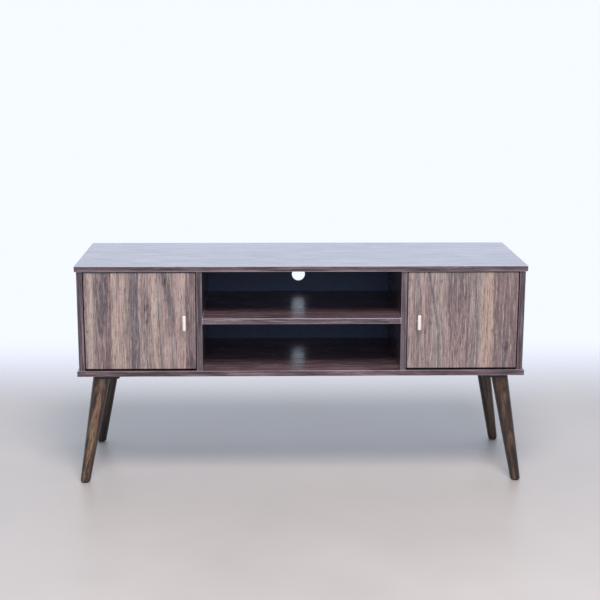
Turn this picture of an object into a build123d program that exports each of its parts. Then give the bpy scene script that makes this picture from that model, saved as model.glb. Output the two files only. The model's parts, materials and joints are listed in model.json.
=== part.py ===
import os
from collections import namedtuple
from math import cos, radians, sin, sqrt

from build123d import *

# Low TV stand on four splayed legs: an open centre bay with one shelf, and a cupboard with an
# inset door on each side. Millimetres. +X right, +Y to the back, +Z up; the doors face -Y.
# The origin is on the floor, at the middle of the whole object's outline.

# ---- driving dimensions ----
WIDTH = 1200.0            # top panel, along X
DEPTH = 380.0             # top panel, along Y
HEIGHT = 600.0            # floor to the top's upper face
BODY_HEIGHT = 300.0       # bottom panel's underside to the top's upper face
BOARD = 15.0              # every laminated board
SIDE_INSET = 5.0          # top and bottom reach past the side panels by this
FRONT_INSET = 4.0         # and past the uprights, the shelf and the doors by this
DIVIDER_INNER_X = 265.0   # half the width of the open bay
BACK_BOARD = 5.0          # thickness of the back panels
BACK_INSET = 3.0          # back panels sit this far in from the top's rear edge
EDGE_ROUND = 0.8          # rounding of the banded edges

DOOR_GAP_HINGE = 2.5      # hinge side
DOOR_GAP_FREE = 2.0       # beside the divider
DOOR_GAP_TOP = 2.0
DOOR_GAP_BOTTOM = 5.0

HANDLE_REACH = 27.0       # door face to the front of the handle's bar
HANDLE_LENGTH = 39.5
HANDLE_DIAMETER = 9.0
HANDLE_FROM_EDGE = 29.5   # door's free edge to the handle's middle

LEG_TOP_X = 538.0         # where a leg's axis meets the bottom panel
LEG_TOP_INSET_Y = 35.0    # the same point, in from the top panel's front or rear edge
LEG_TIP_X = 590.0         # where the axis meets the floor
LEG_TIP_INSET_Y = 13.0
LEG_TOP_RADIUS = 22.5
LEG_TIP_RADIUS = 13.0
GLIDE_HEIGHT = 3.0

CABLE_HOLE_RADIUS = 19.0
UPPER_HOLE_ABOVE_SHELF = 50.0
LOWER_HOLE_ABOVE_FLOOR = 64.0

# ---- places worked out from them ----
HANDLE_PROUD = HANDLE_REACH - FRONT_INSET          # handles stand this far in front of the top
FRONT = (HANDLE_PROUD - DEPTH) / 2                 # the top's front edge
BACK = FRONT + DEPTH                               # the top's rear edge
TOP_UNDER = HEIGHT - BOARD
FLOOR_UNDER = HEIGHT - BODY_HEIGHT                 # underside of the bottom panel
FLOOR_TOP = FLOOR_UNDER + BOARD
SIDE_OUTER = WIDTH / 2 - SIDE_INSET
SIDE_INNER = SIDE_OUTER - BOARD
DIVIDER_OUTER = DIVIDER_INNER_X + BOARD            # the divider's face in the cupboard
UPRIGHT_FRONT = FRONT + FRONT_INSET
UPRIGHT_BACK = BACK - BACK_INSET - BACK_BOARD
SHELF_MIDDLE = (FLOOR_TOP + TOP_UNDER) / 2
SHELF_TOP = SHELF_MIDDLE + BOARD / 2
SHELF_UNDER = SHELF_MIDDLE - BOARD / 2
CABLE_HOLE_HEIGHTS = (FLOOR_TOP + LOWER_HOLE_ABOVE_FLOOR, SHELF_TOP + UPPER_HOLE_ABOVE_SHELF)
DOOR_FRONT = UPRIGHT_FRONT
DOOR_BACK = DOOR_FRONT + BOARD
DOOR_LOW = FLOOR_TOP + DOOR_GAP_BOTTOM
DOOR_HIGH = TOP_UNDER - DOOR_GAP_TOP
SIDES = ("left", "right")                          # mirror images of each other
ROOM = 200.0                                       # a cutting box that clears any small piece


def solid_box(x0, x1, y0, y1, z0, z1):
    """A plain box between two corners."""
    size = Box(x1 - x0, y1 - y0, z1 - z0)
    return Pos((x0 + x1) / 2, (y0 + y1) / 2, (z0 + z1) / 2) * size


def round_front(board, y):
    """Round the long edges of a board's banded front, at this y."""
    edges = [e for e in board.edges() if abs(e.center().Y - y) < 0.01]
    longest = max(e.length for e in edges)
    return fillet([e for e in edges if e.length > longest - 0.01], EDGE_ROUND)


def round_all(board):
    """Round every edge of a board that is banded on all sides."""
    return fillet(board.edges(), EDGE_ROUND)


def rod(radius, start, end):
    """A cylinder between two points."""
    start, end = Vector(*start), Vector(*end)
    along = end - start
    place = Plane(origin=start, z_dir=along.normalized())
    return place * Cylinder(radius, along.length, align=(Align.CENTER, Align.CENTER, Align.MIN))


def turned(profile, at, direction):
    """A solid turned from (radius, height) points, its height running along direction."""
    with BuildPart() as part:
        with BuildSketch(Plane.XZ):
            Polygon(*profile, align=None)
        revolve(axis=Axis.Z)
    return Plane(origin=at, z_dir=direction) * part.part


def mirrored(shape):
    """The same shape on the other side of the stand."""
    return mirror(shape, about=Plane.YZ)


def both_sides(shapes):
    """Left-hand shapes together with their mirror images."""
    return shapes + [mirrored(shape) for shape in shapes]


def save(name, shapes):
    """Write one node: a single solid, or a group of separate solids."""
    shapes = shapes if isinstance(shapes, list) else [shapes]
    solids = [s for shape in shapes for s in shape.solids()]
    export_step(solids[0] if len(solids) == 1 else Compound(children=solids), f"parts/{name}.step")


# ---- screws ----
Screw = namedtuple("Screw", "shank length head head_height")    # radii, length, head's height
BACK_SCREW = Screw(1.5, 20.0, 3.6, 1.8)
CUP_SCREW = Screw(1.75, 12.0, 3.4, 0.0)
HINGE_PLATE_SCREW = Screw(1.75, 13.0, 3.4, 1.8)
ARM_SCREW = Screw(2.0, 5.6, 4.0, 2.2)
CATCH_SCREW = Screw(1.5, 12.0, 2.9, 1.6)
STRIKE_SCREW = Screw(1.5, 11.0, 3.0, 0.0)
HANDLE_SCREW = Screw(2.0, 27.0, 4.2, 2.4)
LEG_PLATE_SCREW = Screw(2.0, 18.0, 4.0, 0.0)
CROSS_WIDTH = 1.1         # width of a drive's slots
RIM = 0.3                 # straight rim of a countersunk head


def cross_recess(radius, depth, at, direction):
    """The two crossed slots of a screw's drive, sunk from the face at this point."""
    slots = Box(2 * radius, CROSS_WIDTH, 2 * depth) + Box(CROSS_WIDTH, 2 * radius, 2 * depth)
    return Plane(origin=at, z_dir=direction) * slots


def shank_end(screw):
    """The lower end of a screw's outline: the shank, then a point as steep as 63 degrees."""
    return [(screw.shank, -screw.length + 2 * screw.shank), (0, -screw.length)]


def pan_screw(at, out, screw):
    """A round-headed screw whose head sits on the face at this point; out points away."""
    crown = screw.head_height * 0.45
    drive_radius = screw.head * 0.55
    profile = [
        (0, screw.head_height),
        (drive_radius, screw.head_height),
        (screw.head * 0.88, screw.head_height - crown * 0.4),
        (screw.head, screw.head_height - crown),
        (screw.head, 0),
        (screw.shank, 0),
    ]
    face = Vector(*at) + Vector(*out) * screw.head_height
    recess = cross_recess(drive_radius, screw.head_height * 0.5, face, out)
    return turned(profile + shank_end(screw), at, out) - recess


def countersink(screw):
    """The outline of a countersunk head, from its rim down to the shank."""
    return [(screw.head, 0), (screw.head, -RIM), (screw.shank, -RIM - screw.head + screw.shank)]


def sunk_screw(at, out, screw):
    """A countersunk screw, flush with the face at this point."""
    recess = cross_recess(screw.head * 0.5, (screw.head - screw.shank) * 0.6, at, out)
    return sunk_hole(at, out, screw) - recess


def sunk_hole(at, out, screw):
    """The hole that a countersunk screw fills."""
    return turned([(0, 0)] + countersink(screw) + shank_end(screw), at, out)


def pilot_hole(at, out, screw):
    """The hole that a round-headed screw's shank fills."""
    return turned([(0, 0), (screw.shank, 0)] + shank_end(screw), at, out)


# ---- knock-down joinery: cams, bolts, dowels and confirmat screws ----
JOINT_FROM_END = 50.0     # a cam's distance from the upright's front and rear edges
DOWEL_FROM_CAM = 32.0
CAM_REACH = 24.0          # cam centre to the joint
CAM_RADIUS = 7.5
CAM_DEPTH = 12.5
CAM_SLOT = 2.6            # radius of the slot for the bolt's neck
CAM_POCKET = 3.9          # radius of the pocket for the bolt's head
CAM_POCKET_HALF = 2.4
CAM_SHANK_FROM = 5.6      # the bolt's shank reaches in to this distance from the centre
CAM_DRIVE = 1.6           # depth of the cam's screwdriver slots
BOLT_THREAD = 11.0        # length in the board's face
BOLT_THREAD_RADIUS = 3.0
BOLT_SHANK_RADIUS = 3.6
BOLT_NECK_RADIUS = 2.0
BOLT_HEAD_RADIUS = 3.4
BOLT_HEAD_HALF = 1.2
BOLT_SHOULDER = 7.5       # from the cam's centre to where the neck begins
BOLT_RUN = 4.0            # radius of the hole the bolt lies in
DOWEL_RADIUS = 4.0
DOWEL_IN_FACE = 10.0
DOWEL_IN_END = 20.0
DOWEL_CHAMFER = 0.8
DOWEL_SPARE = 0.5         # the hole's extra depth at the face end; twice this at the other


def cam_bolt(joint, out):
    """Screwed into a board's face at joint; out runs from that face to the cam."""
    neck = CAM_REACH - BOLT_SHOULDER
    profile = [
        (0, -BOLT_THREAD),
        (BOLT_THREAD_RADIUS, -BOLT_THREAD),
        (BOLT_THREAD_RADIUS, 0),
        (BOLT_SHANK_RADIUS, 0),
        (BOLT_SHANK_RADIUS, neck - (BOLT_SHANK_RADIUS - BOLT_NECK_RADIUS)),
        (BOLT_NECK_RADIUS, neck),
        (BOLT_NECK_RADIUS, CAM_REACH - BOLT_HEAD_HALF),
        (BOLT_HEAD_RADIUS, CAM_REACH - BOLT_HEAD_HALF),
        (BOLT_HEAD_RADIUS, CAM_REACH + BOLT_HEAD_HALF),
        (0, CAM_REACH + BOLT_HEAD_HALF),
    ]
    return turned(profile, joint, out)


def cam_cutters(joint, out, face):
    """The holes a cam joint needs: the bolt's thread, its run to the cam, and the cam's bore."""
    joint, out, face = Vector(*joint), Vector(*out), Vector(*face)
    centre = joint + out * CAM_REACH
    mouth = centre + face * (BOARD / 2)
    return {
        "thread": rod(BOLT_THREAD_RADIUS, joint, joint - out * BOLT_THREAD),
        "run": rod(BOLT_RUN, joint, centre),
        "bore": rod(CAM_RADIUS, mouth, mouth - face * CAM_DEPTH),
    }


def cam_lock(joint, out, face):
    """The round eccentric, with the slot and pocket that take the bolt's neck and head."""
    joint, out, face = Vector(*joint), Vector(*out), Vector(*face)
    centre = joint + out * CAM_REACH
    mouth = centre + face * (BOARD / 2)
    cam = rod(CAM_RADIUS, mouth, mouth - face * CAM_DEPTH)
    slot = rod(CAM_SLOT, centre, centre - out * CAM_RADIUS)
    pocket = rod(CAM_POCKET, centre - out * CAM_POCKET_HALF, centre + out * CAM_POCKET_HALF)
    shank = rod(BOLT_RUN, centre - out * CAM_SHANK_FROM, centre - out * (CAM_RADIUS + 1))
    drive = cross_recess(CAM_RADIUS / 2, CAM_DRIVE, mouth, face)
    return cam - slot - pocket - shank - drive


def dowel(joint, out):
    """A beech dowel across a joint; out points into the board's end."""
    profile = [
        (0, -DOWEL_IN_FACE),
        (DOWEL_RADIUS - DOWEL_CHAMFER, -DOWEL_IN_FACE),
        (DOWEL_RADIUS, -DOWEL_IN_FACE + DOWEL_CHAMFER),
        (DOWEL_RADIUS, DOWEL_IN_END - DOWEL_CHAMFER),
        (DOWEL_RADIUS - DOWEL_CHAMFER, DOWEL_IN_END),
        (0, DOWEL_IN_END),
    ]
    return turned(profile, joint, out)


def dowel_hole(joint, out):
    """The hole for a dowel, through both boards and a little deeper at each end."""
    joint, out = Vector(*joint), Vector(*out)
    start = joint - out * (DOWEL_IN_FACE + DOWEL_SPARE)
    return rod(DOWEL_RADIUS, start, joint + out * (DOWEL_IN_END + 2 * DOWEL_SPARE))


# a stepped screw's radii, its length, and its hexagon socket
CONFIRMAT_HEAD = 5.0
CONFIRMAT_NECK = 3.5
CONFIRMAT_THREAD = 3.0
CONFIRMAT_LENGTH = 50.0
CONFIRMAT_POINT = 4.0
SOCKET_RADIUS = 2.3
SOCKET_DEPTH = 2.5


def confirmat(at):
    """A stepped screw driven up through the bottom panel into an upright's end, and its hole."""
    profile = [
        (0, 0),
        (CONFIRMAT_HEAD, 0),
        (CONFIRMAT_HEAD, 0.5),
        (CONFIRMAT_NECK, 2.0),
        (CONFIRMAT_NECK, BOARD),
        (CONFIRMAT_THREAD, BOARD),
        (CONFIRMAT_THREAD, CONFIRMAT_LENGTH - CONFIRMAT_POINT),
        (0, CONFIRMAT_LENGTH),
    ]
    hole = turned(profile, at, (0, 0, 1))
    hexagon = extrude(RegularPolygon(SOCKET_RADIUS, 6), SOCKET_DEPTH, both=True)
    return hole - Pos(*at) * hexagon, hole


JOINT_YS = (UPRIGHT_FRONT + JOINT_FROM_END, UPRIGHT_BACK - JOINT_FROM_END)
DOWEL_YS = (JOINT_YS[0] + DOWEL_FROM_CAM, JOINT_YS[1] - DOWEL_FROM_CAM)
SIDE_MIDDLE = (SIDE_OUTER + SIDE_INNER) / 2
DIVIDER_MIDDLE = (DIVIDER_OUTER + DIVIDER_INNER_X) / 2
UPRIGHTS = (              # name, middle x, and the way its cams face, into a cupboard
    ("left_side_panel", -SIDE_MIDDLE, 1),
    ("left_divider", -DIVIDER_MIDDLE, -1),
    ("right_divider", DIVIDER_MIDDLE, 1),
    ("right_side_panel", SIDE_MIDDLE, -1),
)


def joinery():
    """Every hidden fitting, and the holes that each board gets for them."""
    fittings = {"cam_bolts": [], "cam_locks": [], "dowels": [], "confirmat_screws": []}
    holes = {name: [] for name, _, _ in UPRIGHTS}
    holes.update({"top_panel": [], "bottom_panel": [], "centre_shelf": []})
    for name, x, facing in UPRIGHTS:
        for y in JOINT_YS:
            joint, down, face = (x, y, TOP_UNDER), (0, 0, -1), (facing, 0, 0)
            cutters = cam_cutters(joint, down, face)
            holes["top_panel"].append(cutters["thread"])
            holes[name] += [cutters["run"], cutters["bore"]]
            fittings["cam_bolts"].append(cam_bolt(joint, down))
            fittings["cam_locks"].append(cam_lock(joint, down, face))
            screw, hole = confirmat((x, y, FLOOR_UNDER))
            fittings["confirmat_screws"].append(screw)
            holes["bottom_panel"].append(hole)
            holes[name].append(hole)
        for y in DOWEL_YS:
            for board, z, way in (("top_panel", TOP_UNDER, -1), ("bottom_panel", FLOOR_TOP, 1)):
                joint, out = (x, y, z), (0, 0, way)
                fittings["dowels"].append(dowel(joint, out))
                holes[board].append(dowel_hole(joint, out))
                holes[name].append(dowel_hole(joint, out))
    for side, way in (("left", 1), ("right", -1)):
        x = -way * DIVIDER_INNER_X
        divider = f"{side}_divider"
        for y in JOINT_YS:
            joint, out, face = (x, y, SHELF_MIDDLE), (way, 0, 0), (0, 0, -1)
            cutters = cam_cutters(joint, out, face)
            holes[divider].append(cutters["thread"])
            holes["centre_shelf"] += [cutters["run"], cutters["bore"]]
            fittings["cam_bolts"].append(cam_bolt(joint, out))
            fittings["cam_locks"].append(cam_lock(joint, out, face))
        for y in DOWEL_YS:
            joint, out = (x, y, SHELF_MIDDLE), (way, 0, 0)
            fittings["dowels"].append(dowel(joint, out))
            holes[divider].append(dowel_hole(joint, out))
            holes["centre_shelf"].append(dowel_hole(joint, out))
    return fittings, holes


# ---- back panels: held by screws in the uprights' and the shelf's rear edges ----
BACK_SEAM = 0.5           # gap between neighbouring back panels, on a divider's middle
BACK_SCREW_FROM_END = 30.0


def back_screw_places():
    """Side panels, the seams on the dividers, and the shelf."""
    z_step = (TOP_UNDER - FLOOR_TOP) / 2 - BACK_SCREW_FROM_END
    for x in (-SIDE_MIDDLE, -DIVIDER_MIDDLE, DIVIDER_MIDDLE, SIDE_MIDDLE):
        for k in (-1, 0, 1):
            yield x, SHELF_MIDDLE + k * z_step
    for x in (-DIVIDER_INNER_X / 2, DIVIDER_INNER_X / 2):
        yield x, SHELF_MIDDLE


def back_panels():
    """Three thin panels, the middle one with a cable hole behind each space of the open bay."""
    y0, y1 = UPRIGHT_BACK, UPRIGHT_BACK + BACK_BOARD
    seam = DIVIDER_MIDDLE - BACK_SEAM / 2
    panels = {
        "left_back_panel": solid_box(-SIDE_OUTER, -seam - BACK_SEAM, y0, y1, FLOOR_TOP, TOP_UNDER),
        "centre_back_panel": solid_box(-seam, seam, y0, y1, FLOOR_TOP, TOP_UNDER),
        "right_back_panel": solid_box(seam + BACK_SEAM, SIDE_OUTER, y0, y1, FLOOR_TOP, TOP_UNDER),
    }
    for z in CABLE_HOLE_HEIGHTS:
        panels["centre_back_panel"] -= rod(CABLE_HOLE_RADIUS, (0, y0 - 1, z), (0, y1 + 1, z))
    screws, holes = [], []
    for x, z in back_screw_places():
        screws.append(pan_screw((x, y1, z), (0, 1, 0), BACK_SCREW))
        holes.append(pilot_hole((x, y1, z), (0, 1, 0), BACK_SCREW))
    panels = {name: panel - holes for name, panel in panels.items()}
    return panels, screws, holes


# ---- concealed hinge, drawn for the left side panel ----
# u runs from the side panel's inner face into the cupboard, v from the door's front face to
# the back. The door turns about one pin that lies inside its cup.
PIVOT_U = 11.5
PIVOT_V = 6.5
PIN_RADIUS = 1.5
PIN_CLEARANCE = 0.05
PIN_HALF = 9.0            # half the pin's length
LUG_LOW = 5.6             # the cup's two lugs that carry the pin, measured from the arm's middle
LUG_WIDTH = 6.0
LUG_ABOVE_PIN = 2.5
ARM_THICKNESS = 2.0
ARM_HEIGHT = 10.0
EYE_RADIUS = 2.7
ARM_REACH = 9.5           # from the pin, sideways, before the gooseneck starts
CURL_RADIUS = 14.0        # the arm's gooseneck, which the door's edge swings through
CURL_START = 26.0         # degrees
FOOT_BEND = 3.0
CUP_RADIUS = 17.5
CUP_WALL = 0.8
CUP_DEPTH = 12.0
CUP_U = 24.5
FLANGE_THICKNESS = 1.2
FLANGE_U = CUP_U + 3.0    # the flange sits a little off the cup's centre
FLANGE_WIDTH = 18.0
FLANGE_HALF = 29.5
FLANGE_CORNER = 5.0
CUP_SCREW_U = CUP_U + 4.0
CUP_SCREW_Z = 24.0
SPINE_U = 4.0             # height of the mounting plate under the arm
SPINE_V0 = 27.0
SPINE_V1 = 76.0
SPINE_HALF = 8.0
SPINE_CORNER = 2.0
WING_U = 2.0              # the plate's two wings, one up and one down
WING_V0 = 37.0
WING_V1 = 51.0
WING_HALF = 24.0
WING_CORNER = 6.0
WING_SCREW_Z = 16.0
ARM_END_V = 72.0
ARM_SCREW_V = 62.0
HINGE_INSET_Z = 55.0      # hinge centre from the door's top and bottom edges


def hinge_arm():
    """A bent steel strip: an eye round the pin, a gooseneck, and a straight foot."""
    u0, v0 = PIVOT_U, PIVOT_V
    foot_u = SPINE_U + ARM_THICKNESS / 2
    curl_v = v0 + CURL_RADIUS
    start = radians(CURL_START)
    elbow = (u0 + ARM_REACH, v0)
    curl_start = (u0 + CURL_RADIUS * cos(start), v0 + CURL_RADIUS * sin(start))
    with BuildSketch() as plan:
        with BuildLine() as path:
            Line((u0 + EYE_RADIUS * 0.85, v0), elbow)
            Line(elbow, curl_start)
            CenterArc((u0, v0), CURL_RADIUS, CURL_START, 90 - CURL_START)
            Line((u0, curl_v), (foot_u + FOOT_BEND, curl_v))
            CenterArc((foot_u + FOOT_BEND, curl_v + FOOT_BEND), FOOT_BEND, 180, 90)
            Line((foot_u, curl_v + FOOT_BEND), (foot_u, ARM_END_V))
        add(trace(path.line, ARM_THICKNESS))
        with Locations((u0, v0), elbow, curl_start):
            Circle(ARM_THICKNESS / 2)
        with Locations((u0, v0)):
            Circle(EYE_RADIUS)
            Circle(PIN_RADIUS + PIN_CLEARANCE, mode=Mode.SUBTRACT)
    return extrude(plan.sketch, ARM_HEIGHT / 2, both=True)


def hinge_pin():
    """The pin that the arm's eye and the cup's lugs share."""
    return rod(PIN_RADIUS, (PIVOT_U, PIVOT_V, -PIN_HALF), (PIVOT_U, PIVOT_V, PIN_HALF))


def hinge_cup():
    """The deep-drawn cup let into the door's back, with its flange and the pin's two lugs."""
    floor = BOARD - CUP_DEPTH + CUP_WALL
    cup = rod(CUP_RADIUS, (CUP_U, BOARD - CUP_DEPTH, 0), (CUP_U, BOARD, 0))
    flange = solid_box(FLANGE_U - FLANGE_WIDTH / 2, FLANGE_U + FLANGE_WIDTH / 2,
                       BOARD, BOARD + FLANGE_THICKNESS, -FLANGE_HALF, FLANGE_HALF)
    flange = fillet(flange.edges().filter_by(Axis.Y), FLANGE_CORNER)
    hollow = rod(CUP_RADIUS - CUP_WALL, (CUP_U, floor, 0), (CUP_U, BOARD + CUP_DEPTH, 0))
    lugs = [
        solid_box(PIVOT_U - LUG_WIDTH, PIVOT_U + LUG_WIDTH / 2, BOARD - CUP_DEPTH,
                  PIVOT_V + LUG_ABOVE_PIN, low, high) & cup
        for low, high in ((-CUP_RADIUS, -LUG_LOW), (LUG_LOW, CUP_RADIUS))
    ]
    return cup + flange - hollow + lugs - hinge_pin()


def mounting_plate():
    """The cross-shaped plate on the side panel that the arm's foot is screwed to."""
    spine = solid_box(0, SPINE_U, SPINE_V0, SPINE_V1, -SPINE_HALF, SPINE_HALF)
    wings = solid_box(0, WING_U, WING_V0, WING_V1, -WING_HALF, WING_HALF)
    spine = fillet(spine.edges().filter_by(Axis.X), SPINE_CORNER)
    return spine + fillet(wings.edges().filter_by(Axis.X), WING_CORNER)


def hinge_parts():
    """One hinge at the local origin, with its screws, and the holes for them."""
    out_of_door, out_of_side = (0, 1, 0), (1, 0, 0)
    cup_places = [(CUP_SCREW_U, BOARD + FLANGE_THICKNESS, z) for z in (-CUP_SCREW_Z, CUP_SCREW_Z)]
    wing_places = [(WING_U, (WING_V0 + WING_V1) / 2, z) for z in (-WING_SCREW_Z, WING_SCREW_Z)]
    arm_place = (SPINE_U + ARM_THICKNESS, ARM_SCREW_V, 0)
    cup_holes = [sunk_hole(at, out_of_door, CUP_SCREW) for at in cup_places]
    wing_holes = [pilot_hole(at, out_of_side, HINGE_PLATE_SCREW) for at in wing_places]
    arm_hole = pilot_hole(arm_place, out_of_side, ARM_SCREW)
    pocket = rod(CUP_RADIUS, (CUP_U, BOARD - CUP_DEPTH, 0), (CUP_U, BOARD + 1, 0))
    return {
        "arm": hinge_arm() - arm_hole,
        "cup": hinge_cup() - cup_holes,
        "plate": mounting_plate() - wing_holes - arm_hole,
        "pin": hinge_pin(),
        "cup_screws": [sunk_screw(at, out_of_door, CUP_SCREW) for at in cup_places],
        "plate_screws": [pan_screw(at, out_of_side, HINGE_PLATE_SCREW) for at in wing_places],
        "arm_screw": pan_screw(arm_place, out_of_side, ARM_SCREW),
        "door_cutters": [pocket] + cup_holes,
        "side_cutters": wing_holes,
    }


# ---- magnetic catch, drawn for the left divider ----
CATCH_U = 12.0            # stands this far off the divider
CATCH_V = 14.0
CATCH_HALF = 16.0
CATCH_CORNER = 1.5
EAR_U = 2.5
EAR_HALF = 25.0
EAR_STEP = 1.0            # the ears are this much narrower than the body at each edge
EAR_CORNER = 3.0
CATCH_SCREW_Z = 20.5
MAGNET_U = 4.0
MAGNET_V = 9.0
MAGNET_HALF = 11.0
POLE_THICKNESS = 1.6
POLE_PROUD = 1.0          # the poles reach this far in front of the plastic body
STRIKE_THICKNESS = 1.0
STRIKE_WIDTH = 9.2
STRIKE_HALF = 18.0
STRIKE_CORNER = 2.0
CATCH_FROM_TOP = 45.0     # catch centre below the door's top edge


def catch_parts():
    """A plastic body on the divider, a magnet between two steel poles, and the strike plate."""
    face = -DIVIDER_OUTER
    y0 = DOOR_BACK + STRIKE_THICKNESS + POLE_PROUD
    z = DOOR_HIGH - CATCH_FROM_TOP
    low, high = z - MAGNET_HALF, z + MAGNET_HALF
    body = solid_box(face - CATCH_U, face, y0, y0 + CATCH_V, z - CATCH_HALF, z + CATCH_HALF)
    body = fillet(body.edges().filter_by(Axis.Y), CATCH_CORNER)
    ears = solid_box(face - EAR_U, face, y0 + EAR_STEP, y0 + CATCH_V - EAR_STEP,
                     z - EAR_HALF, z + EAR_HALF)
    body = body + fillet(ears.edges().filter_by(Axis.X), EAR_CORNER)
    middle = face - (CATCH_U + EAR_STEP) / 2
    edge = MAGNET_U / 2
    magnet = solid_box(middle - edge, middle + edge, y0, y0 + MAGNET_V, low, high)
    poles = [
        solid_box(x, x + POLE_THICKNESS, y0 - POLE_PROUD, y0 + MAGNET_V, low, high)
        for x in (middle - edge - POLE_THICKNESS, middle + edge)
    ]
    out, ear_y = (-1, 0, 0), y0 + CATCH_V / 2
    ear_places = [(face - EAR_U, ear_y, z + rise) for rise in (-CATCH_SCREW_Z, CATCH_SCREW_Z)]
    holes = [pilot_hole(at, out, CATCH_SCREW) for at in ear_places]
    strike = solid_box(middle - STRIKE_WIDTH / 2, middle + STRIKE_WIDTH / 2,
                       DOOR_BACK, DOOR_BACK + STRIKE_THICKNESS, z - STRIKE_HALF, z + STRIKE_HALF)
    strike = fillet(strike.edges().filter_by(Axis.Y), STRIKE_CORNER)
    strike_at = (middle, DOOR_BACK + STRIKE_THICKNESS, z)
    strike_hole = sunk_hole(strike_at, (0, 1, 0), STRIKE_SCREW)
    return {
        "body": body - [magnet] - poles - holes,
        "magnet": magnet,
        "poles": poles,
        "screws": [pan_screw(at, out, CATCH_SCREW) for at in ear_places],
        "divider_cutters": holes,
        "strike": strike - strike_hole,
        "strike_screw": sunk_screw(strike_at, (0, 1, 0), STRIKE_SCREW),
        "door_cutters": [strike_hole],
    }


# ---- handle, drawn for the left door ----
HANDLE_END_ROUND = 2.5
STEM_RADIUS = 3.2


def handle_parts():
    """A short round bar on one plain stem, held by a screw from inside the door."""
    x = -(DIVIDER_OUTER + DOOR_GAP_FREE + HANDLE_FROM_EDGE)
    z = SHELF_MIDDLE
    radius = HANDLE_DIAMETER / 2
    y = DOOR_FRONT - HANDLE_REACH + radius
    bar = rod(radius, (x, y, z - HANDLE_LENGTH / 2), (x, y, z + HANDLE_LENGTH / 2))
    bar = fillet(bar.edges().filter_by(GeomType.CIRCLE), HANDLE_END_ROUND)
    stem = rod(STEM_RADIUS, (x, DOOR_FRONT, z), (x, y, z))
    at, out = (x, DOOR_BACK, z), (0, 1, 0)
    hole = pilot_hole(at, out, HANDLE_SCREW)
    return bar + stem - hole, pan_screw(at, out, HANDLE_SCREW), hole


# ---- leg, drawn for the front left corner ----
LEG_PLATE_THICKNESS = 7.5
LEG_PLATE_X = (-557.0, -489.0)
LEG_PLATE_INSET_Y = (8.0, 72.0)
LEG_PLATE_CORNER = 6.0
LEG_PLATE_SCREW_INSET = 6.5
LEG_CLEAR = 1.0           # the leg's highest point under the bottom panel
LEG_TOP_CHAMFER = 1.0
LEG_FOOT_ROUND = 3.0
SOCKET_CLEARANCE = 0.05   # between the leg and the plate's wedge
HANGER_RADIUS = 4.0
HANGER_UP = 5.0
HANGER_DOWN = 38.0
HANGER_CLEAR = 1.0        # the bolt's end under the bottom panel
GLIDE_RADIUS = 10.0
GLIDE_EDGE = 0.8
NAIL_RADIUS = 1.2
NAIL_LENGTH = 14.0        # then a point
NAIL_POINT = 2.0


def clearing(point, z, way):
    """A cutting box near the point, over this height (way 1) or under it (way -1)."""
    return Pos(point.X, point.Y, z + way * ROOM / 2) * Box(ROOM, ROOM, ROOM)


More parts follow.
